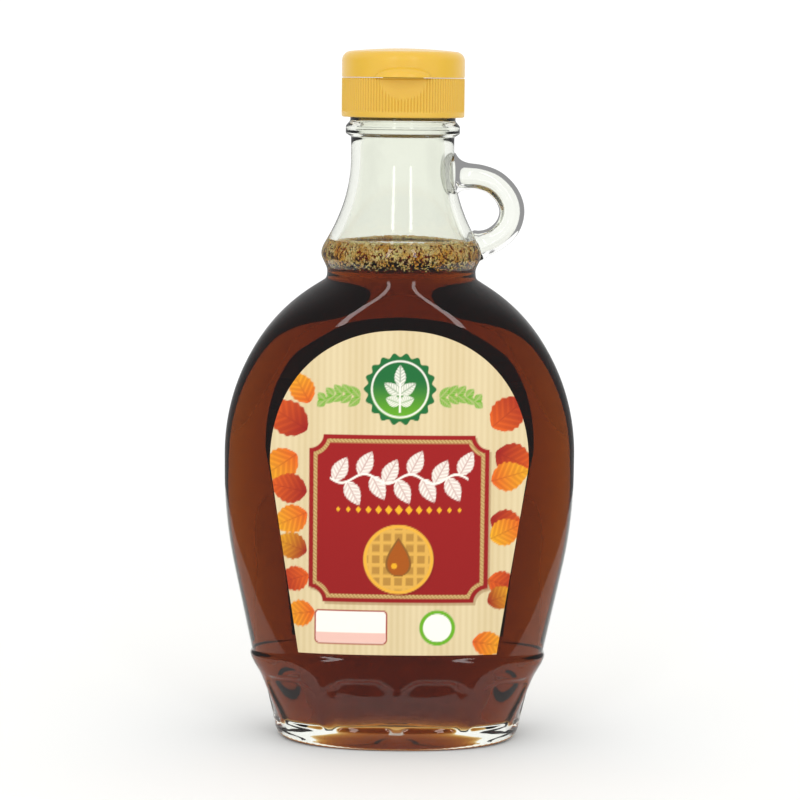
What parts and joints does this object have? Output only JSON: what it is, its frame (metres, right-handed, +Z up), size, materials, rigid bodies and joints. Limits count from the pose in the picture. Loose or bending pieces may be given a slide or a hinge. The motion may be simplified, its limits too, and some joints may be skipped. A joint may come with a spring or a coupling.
{
  "type": "maple syrup bottle",
  "caption": "Flat glass syrup bottle with an arched shoulder and a small loop handle on the neck, filled with amber syrup, paper labels front and back, yellow flip-top cap.",
  "frame": {"origin": "under the middle of the foot, on the plane the bottle stands on", "axes": "+Z up along the bottle's axis, the front label faces -Y, the loop handle is on the +X side"},
  "size_m": [0.0852, 0.041, 0.1685],
  "materials": {
    "bottle": "clear flint glass, smooth",
    "syrup": "dark amber syrup",
    "froth": "golden froth of small bubbles",
    "label_front": "printed paper label",
    "label_back": "printed paper label",
    "cap_skirt": "moulded polypropylene with fine upright ribs",
    "cap_lid": "moulded polypropylene, smooth"
  },
  "bodies": {
    "root": {"bottle": "bottle", "syrup": "syrup", "froth": "froth", "label_front": "label_front", "label_back": "label_back", "cap_skirt": "cap_skirt", "cap_lid": "cap_lid"}
  },
  "joints": []
}
